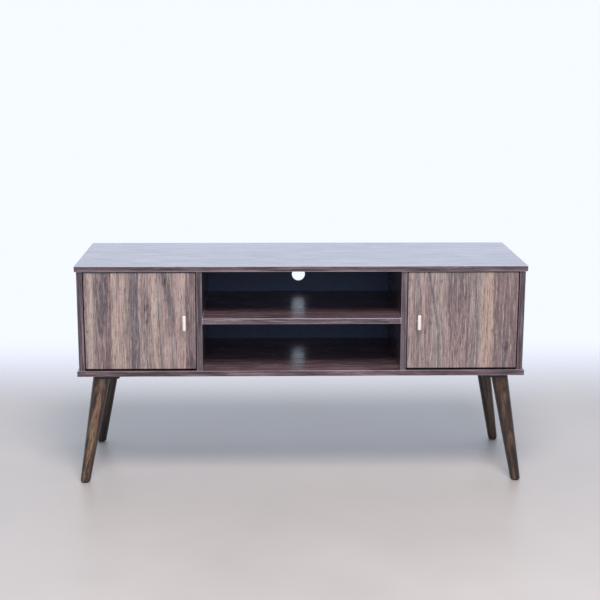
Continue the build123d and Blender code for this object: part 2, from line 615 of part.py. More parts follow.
def leg_parts():
    """A turned leg, its angled plate, the bolt between them, the plate's screws and a glide."""
    top = Vector(-LEG_TOP_X, FRONT + LEG_TOP_INSET_Y, FLOOR_UNDER)
    tip = Vector(-LEG_TIP_X, FRONT + LEG_TIP_INSET_Y, 0)
    axis = (tip - top).normalized()
    lean = sqrt(1 - axis.Z ** 2)
    start = (LEG_CLEAR + LEG_TOP_RADIUS * lean) / -axis.Z
    length = (tip - top).length
    taper = (LEG_TOP_RADIUS - LEG_TIP_RADIUS) / length
    seat = top + axis * start
    past_floor = length - start + LEG_TIP_RADIUS
    profile = [
        (0, 0),
        (LEG_TOP_RADIUS - LEG_TOP_CHAMFER, 0),
        (LEG_TOP_RADIUS, LEG_TOP_CHAMFER),
        (LEG_TOP_RADIUS - taper * past_floor, past_floor),
        (0, past_floor),
    ]
    leg = turned(profile, seat, axis) - clearing(tip, GLIDE_HEIGHT, -1)
    foot = [e for e in leg.edges() if abs(e.center().Z - GLIDE_HEIGHT) < 0.5 and e.length > 20]
    leg = fillet(foot, LEG_FOOT_ROUND)

    y_low, y_high = [FRONT + inset for inset in LEG_PLATE_INSET_Y]
    under_plate = FLOOR_UNDER - LEG_PLATE_THICKNESS
    flange = solid_box(*LEG_PLATE_X, y_low, y_high, under_plate, FLOOR_UNDER)
    flange = fillet(flange.edges().filter_by(Axis.Z), LEG_PLATE_CORNER)
    wedge = rod(LEG_TOP_RADIUS, seat - axis * LEG_TOP_RADIUS, seat) - clearing(top, FLOOR_UNDER, 1)
    socket = rod(LEG_TOP_RADIUS + SOCKET_CLEARANCE, seat, seat + axis * 2 * LEG_TOP_RADIUS)
    hanger = rod(HANGER_RADIUS, seat - axis * HANGER_UP, seat + axis * HANGER_DOWN)
    hanger -= clearing(top, FLOOR_UNDER - HANGER_CLEAR, 1)

    # a screw in each corner but the outer front one, which the leg covers
    x_outer, x_inner = LEG_PLATE_X[0] + LEG_PLATE_SCREW_INSET, LEG_PLATE_X[1] - LEG_PLATE_SCREW_INSET
    y_front, y_rear = y_low + LEG_PLATE_SCREW_INSET, y_high - LEG_PLATE_SCREW_INSET
    corners = ((x_inner, y_front), (x_inner, y_rear), (x_outer, y_rear))
    places = [(x, y, under_plate) for x, y in corners]
    holes = [sunk_hole(at, (0, 0, -1), LEG_PLATE_SCREW) for at in places]
    foot_middle = tip - axis * (GLIDE_HEIGHT / -axis.Z)
    glide = turned(
        [
            (0, 0),
            (GLIDE_RADIUS - GLIDE_EDGE, 0),
            (GLIDE_RADIUS, GLIDE_EDGE),
            (GLIDE_RADIUS, GLIDE_HEIGHT),
            (NAIL_RADIUS, GLIDE_HEIGHT),
            (NAIL_RADIUS, GLIDE_HEIGHT + NAIL_LENGTH),
            (0, GLIDE_HEIGHT + NAIL_LENGTH + NAIL_POINT),
        ],
        (foot_middle.X, foot_middle.Y, 0),
        (0, 0, 1),
    )
    return {
        "leg": leg - hanger - glide,
        "plate": flange + wedge - socket - hanger - holes,
        "hanger": hanger,
        "screws": [sunk_screw(at, (0, 0, -1), LEG_PLATE_SCREW) for at in places],
        "glide": glide,
        "panel_cutters": holes,
    }


def front_to_back(shape):
    """Mirror a front leg's piece about the middle of the top panel's depth."""
    return mirror(shape, about=Plane.XZ.offset(-(FRONT + BACK) / 2))


# ---- the whole stand ----
def fitted_doors(hinge, catch):
    """Both doors' hinges, handles and catches, drawn on the left and mirrored for the right."""
    handle, handle_screw, handle_hole = handle_parts()
    places = {
        "lower": Pos(-SIDE_INNER, DOOR_FRONT, DOOR_LOW + HINGE_INSET_Z),
        "upper": Pos(-SIDE_INNER, DOOR_FRONT, DOOR_HIGH - HINGE_INSET_Z),
    }
    nodes = {}
    plate_screws, arm_screws = [], []
    for side in SIDES:
        flip = mirrored if side == "right" else (lambda shape: shape)
        pins, cup_screws = [], []
        for level, place in places.items():
            for piece in ("cup", "arm", "plate"):
                nodes[f"{side}_{level}_hinge_{piece}"] = flip(place * hinge[piece])
            pins.append(flip(place * hinge["pin"]))
            cup_screws += [flip(place * screw) for screw in hinge["cup_screws"]]
            plate_screws += [flip(place * screw) for screw in hinge["plate_screws"]]
            arm_screws.append(flip(place * hinge["arm_screw"]))
        nodes[f"{side}_hinge_pins"] = pins
        nodes[f"{side}_cup_screws"] = cup_screws
        nodes[f"{side}_handle"] = flip(handle)
        nodes[f"{side}_handle_screw"] = flip(handle_screw)
        nodes[f"{side}_catch"] = flip(catch["body"])
        nodes[f"{side}_strike_plate"] = flip(catch["strike"])
        nodes[f"{side}_strike_screw"] = flip(catch["strike_screw"])
    nodes["hinge_plate_screws"] = plate_screws
    nodes["hinge_arm_screws"] = arm_screws
    nodes["catch_magnets"] = both_sides([catch["magnet"]])
    nodes["catch_pole_plates"] = both_sides(catch["poles"])
    nodes["catch_screws"] = both_sides(catch["screws"])

    door = round_all(solid_box(-SIDE_INNER + DOOR_GAP_HINGE, -DIVIDER_OUTER - DOOR_GAP_FREE,
                               DOOR_FRONT, DOOR_BACK, DOOR_LOW, DOOR_HIGH))
    cutters = [place * cutter for place in places.values() for cutter in hinge["door_cutters"]]
    door -= cutters + catch["door_cutters"] + [handle_hole]
    nodes["left_door"] = door
    nodes["right_door"] = mirrored(door)
    side_cutters = [place * cutter for place in places.values() for cutter in hinge["side_cutters"]]
    return nodes, side_cutters


def placed_legs():
    """Four legs from the one drawn, and the screw holes they need in the bottom panel."""
    leg = leg_parts()
    corners = {
        "front_left": lambda shape: shape,
        "front_right": mirrored,
        "rear_left": front_to_back,
        "rear_right": lambda shape: front_to_back(mirrored(shape)),
    }
    nodes = {}
    panel_cutters, hangers, screws, glides = [], [], [], []
    for corner, put in corners.items():
        nodes[f"{corner}_leg"] = put(leg["leg"])
        nodes[f"{corner}_leg_plate"] = put(leg["plate"])
        hangers.append(put(leg["hanger"]))
        glides.append(put(leg["glide"]))
        screws += [put(screw) for screw in leg["screws"]]
        panel_cutters += [put(cutter) for cutter in leg["panel_cutters"]]
    nodes["hanger_bolts"] = hangers
    nodes["leg_plate_screws"] = screws
    nodes["foot_glides"] = glides
    return nodes, panel_cutters


def main():
    os.makedirs("parts", exist_ok=True)
    fittings, holes = joinery()
    backs, back_screws, back_holes = back_panels()
    catch = catch_parts()
    nodes, side_cutters = fitted_doors(hinge_parts(), catch)
    legs, panel_cutters = placed_legs()
    nodes.update(legs)
    nodes.update(backs)
    nodes.update(fittings)
    nodes["back_panel_screws"] = back_screws

    # uprights and shelf
    for name, x, _ in UPRIGHTS:
        board = solid_box(x - BOARD / 2, x + BOARD / 2, UPRIGHT_FRONT, UPRIGHT_BACK,
                          FLOOR_TOP, TOP_UNDER)
        extra = side_cutters if "side" in name else catch["divider_cutters"]
        if "right" in name:
            extra = [mirrored(cutter) for cutter in extra]
        nodes[name] = round_front(board, UPRIGHT_FRONT) - (holes[name] + back_holes + extra)
    shelf = solid_box(-DIVIDER_INNER_X, DIVIDER_INNER_X, UPRIGHT_FRONT, UPRIGHT_BACK,
                      SHELF_UNDER, SHELF_TOP)
    nodes["centre_shelf"] = round_front(shelf, UPRIGHT_FRONT) - holes["centre_shelf"] - back_holes

    # top and bottom
    half = WIDTH / 2
    top = round_all(solid_box(-half, half, FRONT, BACK, TOP_UNDER, HEIGHT))
    nodes["top_panel"] = top - holes["top_panel"]
    bottom = round_all(solid_box(-half, half, FRONT, BACK, FLOOR_UNDER, FLOOR_TOP))
    nodes["bottom_panel"] = bottom - holes["bottom_panel"] - panel_cutters

    for name, shape in nodes.items():
        save(name, shape)
    print(len(nodes), "nodes")


main()
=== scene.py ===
import json
import math

import bpy
from mathutils import Matrix, Vector


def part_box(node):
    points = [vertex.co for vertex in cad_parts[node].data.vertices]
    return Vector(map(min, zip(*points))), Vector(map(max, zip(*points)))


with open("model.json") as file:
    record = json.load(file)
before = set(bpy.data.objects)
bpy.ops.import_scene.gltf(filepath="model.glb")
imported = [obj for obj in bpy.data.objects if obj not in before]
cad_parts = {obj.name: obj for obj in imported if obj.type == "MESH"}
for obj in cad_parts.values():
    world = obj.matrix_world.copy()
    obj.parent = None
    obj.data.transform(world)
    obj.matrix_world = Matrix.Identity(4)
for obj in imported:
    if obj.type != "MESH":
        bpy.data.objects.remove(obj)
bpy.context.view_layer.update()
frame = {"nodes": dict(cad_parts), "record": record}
nodes = frame["nodes"]

# The CAD model already gives every board, leg and fitting its true shape. This script gives
# them their surfaces and sets up the studio and the camera.
MM = 0.001

# ---- camera: the photograph's viewing angle ----
CAMERA_PLACE = (-0.0933, -3.4593, 1.2053)
CAMERA_YAW = math.radians(1.54)       # turned towards +X
CAMERA_PITCH = math.radians(11.98)    # tilted down
CAMERA_ROLL = math.radians(0.17)
CAMERA_LENS = 75.95                   # millimetres
CAMERA_SENSOR = 36.0


def srgb(red, green, blue):
    """A colour given as 0 to 255 screen values, as the linear colour that a shader takes."""
    def linear(value):
        value /= 255
        return value / 12.92 if value <= 0.04045 else ((value + 0.055) / 1.055) ** 2.4
    return (linear(red), linear(green), linear(blue), 1.0)


def shaded(colour, factor):
    """The same colour, darker or lighter."""
    return tuple(channel * factor for channel in colour[:3]) + (1.0,)


# ---- a short way to write node trees ----
class Nodes:
    """The calls that build a node tree."""

    def __init__(self, tree):
        self.tree = tree

    def add(self, kind, **settings):
        node = self.tree.nodes.new(kind)
        for name, value in settings.items():
            setattr(node, name, value)
        return node

    def feed(self, socket, value):
        """Give a socket another socket's output, or a plain value."""
        if isinstance(value, bpy.types.NodeSocket):
            self.tree.links.new(value, socket)
        else:
            socket.default_value = value

    def fed(self, kind, *values, **settings):
        """Add a node and feed its sockets in order."""
        node = self.add(kind, **settings)
        for socket, value in zip(node.inputs, values):
            self.feed(socket, value)
        return node

    def math(self, operation, *values):
        return self.fed("ShaderNodeMath", *values, operation=operation).outputs[0]

    def plus(self, a, b):
        return self.math("ADD", a, b)

    def minus(self, a, b):
        return self.math("SUBTRACT", a, b)

    def times(self, a, b):
        return self.math("MULTIPLY", a, b)

    def least(self, first, *others):
        """The smallest of some values."""
        for other in others:
            first = self.math("MINIMUM", first, other)
        return first

    def join(self, x, y, z):
        return self.fed("ShaderNodeCombineXYZ", x, y, z).outputs[0]

    def noise(self, vector, detail=3.0, roughness=0.55):
        """Smooth noise around a half; the vector already carries the scale."""
        node = self.add("ShaderNodeTexNoise")
        self.feed(node.inputs["Vector"], vector)
        node.inputs["Scale"].default_value = 1.0
        node.inputs["Detail"].default_value = detail
        node.inputs["Roughness"].default_value = roughness
        return node.outputs["Fac"]

    def stretched_noise(self, axes, scales, detail=3.0, roughness=0.55):
        """Noise with its own number of features to a metre along each axis."""
        scaled = [self.times(axis, scale) for axis, scale in zip(axes, scales)]
        return self.noise(self.join(*scaled), detail, roughness)

    def ramp(self, value, *stops):
        """A colour for each value, through (place, colour) stops."""
        node = self.add("ShaderNodeValToRGB")
        self.feed(node.inputs[0], value)
        band = node.color_ramp
        while len(band.elements) < len(stops):
            band.elements.new(1.0)
        for element, (at, colour) in zip(band.elements, stops):
            element.position = at
            element.color = colour
        return node.outputs["Color"]

    def span(self, value, low, high, new_low=0.0, new_high=1.0):
        """Carry a value smoothly from one range to another, held inside the new one."""
        node = self.add("ShaderNodeMapRange", interpolation_type="SMOOTHSTEP")
        for socket, item in zip(node.inputs, (value, low, high, new_low, new_high)):
            self.feed(socket, item)
        return node.outputs[0]

    def swing(self, pattern, amount):
        """Turn noise into a shift of up to this amount either way."""
        return self.span(pattern, 0.2, 0.8, -amount, amount)

    def vary(self, pattern, least, most):
        """Turn noise into a value between these two."""
        return self.span(pattern, 0.3, 0.7, least, most)

    def mix(self, factor, a, b, blend="MIX"):
        """Blend colour b over colour a."""
        node = self.add("ShaderNodeMix", data_type="RGBA", blend_type=blend)
        self.feed(node.inputs["Factor"], factor)
        first, second = [socket for socket in node.inputs if socket.type == "RGBA"]
        self.feed(first, a)
        self.feed(second, b)
        return next(socket for socket in node.outputs if socket.type == "RGBA")


class Paint(Nodes):
    """One material: its shader, the place of each point, and the colour laid on so far."""

    def __init__(self, name):
        self.material = bpy.data.materials.new(name)
        self.material.use_nodes = True
        super().__init__(self.material.node_tree)
        self.shader = self.tree.nodes["Principled BSDF"]
        self.place = self.add("ShaderNodeTexCoord").outputs["Object"]
        self.x, self.y, self.z = self.fed("ShaderNodeSeparateXYZ", self.place).outputs[:3]
        self.colour = None

    def lay(self, factor, tone, blend="MIX"):
        """Lay a tone over the colour."""
        self.colour = self.mix(factor, self.colour, tone, blend)

    def lay_high(self, pattern, low, high, strength, tone):
        """Lay a tone where a pattern is high: from nothing at low to full strength at high."""
        self.lay(self.span(pattern, low, high, 0.0, strength), tone)

    def lay_low(self, pattern, low, high, strength, tone):
        """Lay a tone where a pattern is low: from full strength at low to nothing at high."""
        self.lay(self.span(pattern, low, high, strength, 0.0), tone)

    def even_noise(self, scale, detail=3.0, roughness=0.55):
        """Noise with the same scale in every direction, in features to a metre."""
        vector = self.fed("ShaderNodeVectorMath", self.place, (scale,) * 3, operation="MULTIPLY")
        return self.noise(vector.outputs[0], detail, roughness)

    def bump(self, height, strength, distance):
        node = self.add("ShaderNodeBump")
        self.feed(node.inputs["Height"], height)
        node.inputs["Strength"].default_value = strength
        node.inputs["Distance"].default_value = distance
        self.feed(self.shader.inputs["Normal"], node.outputs[0])

    def finish(self, roughness, **plain):
        """Feed the shader; plain values are set straight on its sockets."""
        self.feed(self.shader.inputs["Base Color"], self.colour)
        self.feed(self.shader.inputs["Roughness"], roughness)
        for name, value in plain.items():
            self.shader.inputs[name.replace("_", " ")].default_value = value
        return self.material


class BoardPaint(Paint):
    """A board's material, which knows how deep inside the board each point lies."""

    def __init__(self, name):
        super().__init__(name)
        self.low, self.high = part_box(name)
        # the distance to the nearer of the two faces across each axis
        self.depths = [
            self.least(self.minus(value, self.low[k]), self.minus(self.high[k], value))
            for k, value in enumerate((self.x, self.y, self.z))
        ]

    def on_face(self, depth):
        """1 on the faces that this depth is measured from."""
        return self.span(depth, 0.1 * MM, 0.3 * MM, 1.0, 0.0)

    def near_edge(self, reach):
        """1 where two faces meet, 0 in the open, and below 0 in holes, which a mix takes as 0."""
        close = [self.span(depth, 0.4 * reach, reach, 1.0, 0.0) for depth in self.depths]
        return self.minus(self.plus(self.plus(close[0], close[1]), close[2]), 1.0)

    def in_core(self):
        """1 on the walls of holes cut through the faces."""
        return self.span(self.least(*self.depths), 0.45 * MM, 0.6 * MM)

    def chipboard(self):
        """Pressed wood chips, as a hole's wall shows them."""
        chips = self.even_noise(420.0, 4.0, 0.7)
        return self.ramp(
            chips,
            (0.32, srgb(104, 78, 54)),
            (0.52, srgb(172, 138, 100)),
            (0.70, srgb(206, 176, 136)),
        )


# ---- carcass boards ----
EDGE_HIGHLIGHT_REACH = 1.4 * MM                                     # how far the painted highlight goes from an edge
EDGE_HIGHLIGHT = {"top_panel": 0.7, "centre_shelf": 0.55}      # how pale the painted highlight makes these boards' edges
OTHER_EDGE_HIGHLIGHT = 0.25                                    # and the others'
GLOSS = {"centre_shelf": 0.1, "bottom_panel": 0.1}        # how strong their clear coat is
OTHER_GLOSS = 0.6
# the two boards that floor the open bay are painted redder and lighter on top, and paler along the
# front as a painted reflection of the light in front of them
BAY_TOP_TINT = (1.32, 1.20, 1.18, 1.0)
BAY_FRONT_PAINTED_LIGHT = {
    "centre_shelf": (1.25, 1.34, 1.36, 1.0),
    "bottom_panel": (1.16, 1.14, 1.12, 1.0),
}


def carcass_laminate(name, along, shift):
    """Dark walnut print, its grain along one axis, with banded edges, a painted highlight on the
    edges and painted light on the bay's floor boards.
    """
    paint = BoardPaint(name)
    x, y, z = paint.x, paint.y, paint.z
    depth_x, depth_y, depth_z = paint.depths
    if along == "X":
        # on the banded ends the grain runs from front to back instead
        on_end = paint.span(depth_x, 0.5 * MM, 0.9 * MM, 1.0, 0.0)
        turn = paint.times(paint.minus(y, x), on_end)
        length, across, through = paint.plus(x, turn), paint.minus(y, turn), z
    else:
        length, across, through = z, x, y
    length = paint.plus(length, shift)
    sway = paint.stretched_noise((length, across, through), (2.2, 5.0, 1.0), 2.0)
    across = paint.plus(across, paint.swing(sway, 5 * MM))

    def streaks(lengthwise, crosswise, detail=3.0, roughness=0.55):
        scales = (lengthwise, crosswise, crosswise)
        return paint.stretched_noise((length, across, through), scales, detail, roughness)

    broad = streaks(2.4, 24.0, 3.0, 0.5)
    dashes = streaks(7.5, 80.0, 4.0, 0.62)
    medium = streaks(9.0, 210.0, 4.0, 0.6)
    fine = streaks(36.0, 560.0, 3.0, 0.6)
    pores = streaks(110.0, 1500.0, 2.0)
    paint.colour = paint.ramp(
        broad,
        (0.28, srgb(62, 49, 54)),
        (0.42, srgb(84, 68, 73)),
        (0.55, srgb(100, 82, 88)),
        (0.66, srgb(78, 63, 68)),
        (0.78, srgb(62, 49, 54)),
    )
    paint.lay_high(dashes, 0.52, 0.66, 0.55, srgb(44, 34, 40))
    paint.lay_low(dashes, 0.34, 0.46, 0.50, srgb(128, 109, 114))
    paint.lay_high(medium, 0.48, 0.62, 0.80, srgb(40, 31, 37))
    paint.lay_low(medium, 0.34, 0.46, 0.65, srgb(142, 122, 126))
    paint.lay_high(fine, 0.50, 0.72, 0.35, srgb(138, 119, 122))
    paint.lay_high(pores, 0.58, 0.70, 0.60, srgb(40, 31, 34))
    if name == "top_panel":
        # the print of its upper face is stronger, to show through the gloss
        upper = paint.on_face(depth_z)
        dark = paint.span(dashes, 0.46, 0.62, 0.0, 0.6)
        paint.lay(paint.times(upper, dark), srgb(40, 31, 36))
        light = paint.span(broad, 0.36, 0.52, 0.35, 0.0)
        paint.lay(paint.times(upper, light), srgb(132, 116, 126))
    # painted reflection: the front faces of these boards are painted paler; their upper faces are
    # painted redder and lighter
    if name in BAY_FRONT_PAINTED_LIGHT:
        paint.lay(paint.on_face(depth_z), BAY_TOP_TINT, "MULTIPLY")
        paint.lay(paint.on_face(depth_y), BAY_FRONT_PAINTED_LIGHT[name], "MULTIPLY")
    # painted highlight: every edge is painted paler, for the light that its rounding catches
    painted_highlight = paint.times(paint.near_edge(EDGE_HIGHLIGHT_REACH), EDGE_HIGHLIGHT.get(name, OTHER_EDGE_HIGHLIGHT))
    paint.lay(painted_highlight, srgb(205, 200, 212))
    paint.lay(paint.in_core(), paint.chipboard())
    paint.bump(paint.minus(paint.times(fine, 0.6), pores), 0.10, 0.3 * MM)
    return paint.finish(
        paint.vary(medium, 0.24, 0.34),
        Coat_Weight=GLOSS.get(name, OTHER_GLOSS),
        Coat_Roughness=0.22,
    )


# ---- doors: weathered walnut print with upright grain ----
ASH = srgb(124, 112, 116)
BEIGE = srgb(180, 156, 151)
BLUSH = srgb(166, 141, 140)
BROWN = srgb(140, 119, 120)
DUSK = srgb(70, 60, 68)
MAUVE = srgb(120, 98, 104)
PALE = srgb(190, 168, 160)
SAND = srgb(184, 159, 146)
SLATE = srgb(100, 94, 102)
STONE = srgb(158, 143, 139)

# the printed bands from left to right: where each tone stands, as a fraction of the width
BANDS = {
    "left": (
        (0.000, ASH), (0.022, ASH), (0.032, BEIGE), (0.062, PALE), (0.078, STONE),
        (0.125, BROWN), (0.215, MAUVE), (0.240, BROWN), (0.250, PALE), (0.275, PALE),
        (0.310, BEIGE), (0.355, PALE), (0.372, STONE), (0.430, ASH), (0.470, SLATE),
        (0.490, ASH), (0.497, BEIGE), (0.560, STONE), (0.605, BEIGE), (0.640, PALE),
        (0.680, STONE), (0.735, BEIGE), (0.775, STONE), (0.812, BLUSH), (0.860, BEIGE),
        (0.903, BEIGE), (0.911, BROWN), (0.950, MAUVE), (0.985, BROWN), (1.000, BLUSH),
    ),
    "right": (
        (0.000, STONE), (0.040, BLUSH), (0.085, ASH), (0.115, STONE), (0.165, BLUSH),
        (0.200, BROWN), (0.240, STONE), (0.320, STONE), (0.350, BLUSH), (0.385, BROWN),
        (0.440, BLUSH), (0.520, BLUSH), (0.552, MAUVE), (0.572, STONE), (0.610, ASH),
        (0.650, STONE), (0.688, BEIGE), (0.705, SAND), (0.760, SAND), (0.772, BROWN),
        (0.800, MAUVE), (0.840, BROWN), (0.885, MAUVE), (0.930, BROWN), (0.970, MAUVE),
        (1.000, BROWN),
    ),
}
# nested V shapes in the grain: middle and half width as fractions of the door's width, tip and
# height as fractions of its height, 1 pointing down or -1 up, the tone inside, its strength
VEES = {
    "left": (
        (0.180, 0.070, 0.38, 0.50, 1, MAUVE, 0.75),
        (0.150, 0.045, 0.71, 0.35, 1, SLATE, 0.60),
        (0.555, 0.055, 0.06, 0.45, -1, STONE, 0.65),
        (0.960, 0.060, 0.84, 0.40, -1, SLATE, 0.90),
    ),
    "right": (
        (0.460, 0.100, 0.44, 0.42, 1, SLATE, 0.90),
        (0.450, 0.085, 0.86, 0.45, 1, BROWN, 0.55),
        (0.125, 0.055, 0.20, 0.60, -1, BLUSH, 0.40),
    ),
}
# dark streaks: where each starts at the top, where it ends, how soon it straightens, its width
# at the top and at the bottom, and its strength there
SWEEPS = {
    "left": (
        (0.712, 0.800, 2.6, 0.038, 0.016, 1.00, 0.40),
        (0.480, 0.478, 1.0, 0.010, 0.012, 0.75, 0.85),
        (0.440, 0.425, 1.0, 0.010, 0.008, 0.15, 0.75),
        (0.093, 0.110, 1.0, 0.007, 0.005, 0.80, 0.10),
        (0.660, 0.690, 1.0, 0.006, 0.006, 0.60, 0.45),
    ),
    "right": (
        (0.185, 0.285, 2.6, 0.013, 0.016, 0.85, 0.40),
        (0.380, 0.385, 1.0, 0.008, 0.006, 0.60, 0.10),
        (0.552, 0.545, 1.0, 0.014, 0.012, 0.45, 0.40),
        (0.625, 0.640, 1.0, 0.007, 0.009, 0.35, 0.50),
        (0.880, 0.885, 1.0, 0.014, 0.024, 0.40, 0.65),
    ),
}
# knots: across and down as fractions, radius in millimetres
KNOTS = {
    "left": ((0.560, 0.36, 9.0), (0.562, 0.51, 5.0), (0.728, 0.10, 10.0), (0.945, 0.94, 13.0)),
    "right": ((0.450, 0.38, 7.0), (0.900, 0.77, 9.0)),
}
KNOT_HEIGHT = 1.7       # a knot's height over its width
# the dark lines nested in a V: how far inside its outline, and their share of its strength
RIMS = ((0.0, 0.9), (0.28, 0.7), (0.55, 0.6))
DOOR_SHIFT = {"left": 1.0, "right": 4.0}     # metres: where each door's noise starts
DOOR_TINT = {"left": (0.93, 0.92, 0.90, 1.0), "right": (0.98, 0.97, 0.94, 1.0)}
DOOR_GAP_SHADE_REACH = 2.0 * MM                   # how wide the painted shade along a door's edges is, which darkens the gaps around it


class DoorPaint(BoardPaint):
    """A door's print, laid on in steps. Across and down are fractions of the door's size."""

    def __init__(self, name, side):
        super().__init__(name)
        self.side = side
        self.width, self.height = self.high.x - self.low.x, self.high.z - self.low.z
        self.across = self.math("DIVIDE", self.minus(self.x, self.low.x), self.width)
        self.down = self.math("DIVIDE", self.minus(self.high.z, self.z), self.height)
        self.sway = self.streaks(self.x, 5.5, 9.0, 2.0, 0.5)
        self.shiver = self.streaks(self.x, 20.0, 80.0, 3.0)
        swayed = self.plus(self.across, self.swing(self.sway, 0.010))
        self.swayed = self.plus(swayed, self.swing(self.shiver, 0.003))
        self.fibre = self.times(self.swayed, self.width)
        self.ring = self.fibre       # the growth rings, which the V shapes bend

    def streaks(self, across, upright, crosswise, detail=3.0, roughness=0.55, shift=0.0):
        """Noise in upright streaks."""
        upward = self.plus(self.z, DOOR_SHIFT[self.side] + shift)
        scales = (crosswise, crosswise, upright)
        return self.stretched_noise((across, self.y, upward), scales, detail, roughness)

    def lay_vee(self, middle, half, tip, rise, way, tone, strength):
        """A V shape. The rings follow its outline and the fibres still run straight down."""
        off = self.minus(self.swayed, middle)
        halves = self.math("DIVIDE", self.math("ABSOLUTE", off), half)
        # the level is 0 on the outline and falls towards the inside
        slope = self.times(self.minus(self.down, tip), way / rise)
        level = self.plus(self.math("POWER", halves, 1.25), slope)
        level = self.plus(level, self.swing(self.shiver, 0.05))
        level = self.plus(level, self.swing(self.sway, 0.12))
        # bend the rings
        beside = self.span(halves, 0.8, 1.35, 1.0, 0.0)
        zone = self.times(beside, self.span(level, 0.1, 0.6, 1.0, 0.0))
        bent = self.times(level, 0.6 * half * self.width)
        bent = self.plus(bent, self.times(off, 0.3 * self.width))
        self.ring = self.plus(self.ring, self.times(zone, self.minus(bent, self.ring)))
        # tone the inside and draw the dark lines
        inside = self.span(level, -0.10, 0.12, 1.0, 0.0)
        inside = self.times(inside, self.span(halves, 0.7, 1.3, 1.0, 0.0))
        self.lay(self.times(inside, strength), tone)
        for inset, share in RIMS:
            offset = self.math("ABSOLUTE", self.plus(level, inset))
            rim = self.span(offset, 0.03, 0.17, share * strength, 0.0)
            self.lay(self.times(rim, self.span(halves, 0.7, 1.2, 1.0, 0.0)), DUSK)

    def lay_sweep(self, start, end, bend, wide, narrow, strong, faint):
        """A dark streak from the top to the bottom."""
        up = self.math("MAXIMUM", self.minus(1.0, self.down), 0.0)
        middle = self.plus(self.times(self.math("POWER", up, bend), start - end), end)
        breadth = self.span(self.down, 0.0, 0.8, wide, narrow)
        offset = self.math("ABSOLUTE", self.minus(self.swayed, middle))
        offset = self.math("DIVIDE", offset, breadth)
        strength = self.span(self.down, 0.1, 0.9, strong, faint)
        self.lay(self.times(self.span(offset, 0.5, 1.1, 1.0, 0.0), strength), SLATE)

    def lay_knot(self, across, down, radius):
        """A dark knot with a brown halo, taller than it is wide."""
        dx = self.times(self.minus(self.across, across), self.width / (radius * MM))
        dz = self.times(self.minus(self.down, down), self.height / (KNOT_HEIGHT * radius * MM))
        reach = self.math("SQRT", self.plus(self.times(dx, dx), self.times(dz, dz)))
        reach = self.plus(reach, self.swing(self.shiver, 0.35))
        self.lay_low(reach, 0.5, 2.2, 0.50, MAUVE)
        self.lay_low(reach, 0.2, 1.0, 0.90, DUSK)


def door_laminate(name, side):
    """A door's print: bands of tone, nested V shapes, dark streaks, knots and fine grain, with
    painted shade along its edges.
    """
    paint = DoorPaint(name, side)
    paint.colour = paint.ramp(paint.swayed, *BANDS[side])
    for vee in VEES[side]:
        paint.lay_vee(*vee)
    for sweep in SWEEPS[side]:
        paint.lay_sweep(*sweep)
    for knot in KNOTS[side]:
        paint.lay_knot(*knot)
    medium = paint.streaks(paint.ring, 5.5, 130.0, 4.0, 0.65)
    lines = paint.streaks(paint.fibre, 12.0, 380.0, 3.0, 0.6, shift=2.0)
    dashes = paint.streaks(paint.fibre, 44.0, 430.0, 2.0, 0.6)
    pores = paint.streaks(paint.fibre, 140.0, 1500.0, 2.0)
    paint.lay_high(medium, 0.50, 0.64, 0.36, srgb(104, 90, 92))
    paint.lay_low(medium, 0.34, 0.46, 0.28, srgb(200, 180, 170))
    paint.lay_high(lines, 0.52, 0.64, 0.60, srgb(94, 80, 82))
    paint.lay_low(lines, 0.34, 0.46, 0.45, srgb(210, 191, 182))
    paint.lay_high(dashes, 0.55, 0.68, 0.70, srgb(82, 68, 72))
    paint.lay_low(dashes, 0.32, 0.44, 0.35, srgb(214, 197, 188))
    paint.lay_high(pores, 0.57, 0.70, 0.60, srgb(78, 64, 66))
    paint.lay(1.0, DOOR_TINT[side], "MULTIPLY")
    # painted shade: a dark line along the door's edges, darkening the gaps between it and the
    # carcass
    paint.lay(paint.times(paint.near_edge(DOOR_GAP_SHADE_REACH), 0.85), srgb(46, 38, 44))
    paint.lay(paint.in_core(), paint.chipboard())
    paint.bump(paint.minus(paint.times(dashes, 0.6), pores), 0.12, 0.3 * MM)
    return paint.finish(paint.vary(medium, 0.36, 0.46), Specular_IOR_Level=0.4)


# ---- other surfaces ----
# painted shade: how light each leg's colour is kept, lower for the legs that lie more in shade
LEG_LIT_SHARE = {"front_left": 1.00, "front_right": 0.50, "rear_left": 0.25, "rear_right": 0.40}
LEG_FOOT_X = 590.0 * MM              # from the middle of the stand to a leg's axis at the floor
LEG_LEAN = 52.0 / 300.0              # how far the axis leans sideways for each metre up
LEG_GRAIN_LEAN = 0.05                # and the grain from front to back
LEG_FOOT_RADIUS = 13.0 * MM
LEG_FLARE = 9.5 / 300.0              # how much the radius grows for each metre up


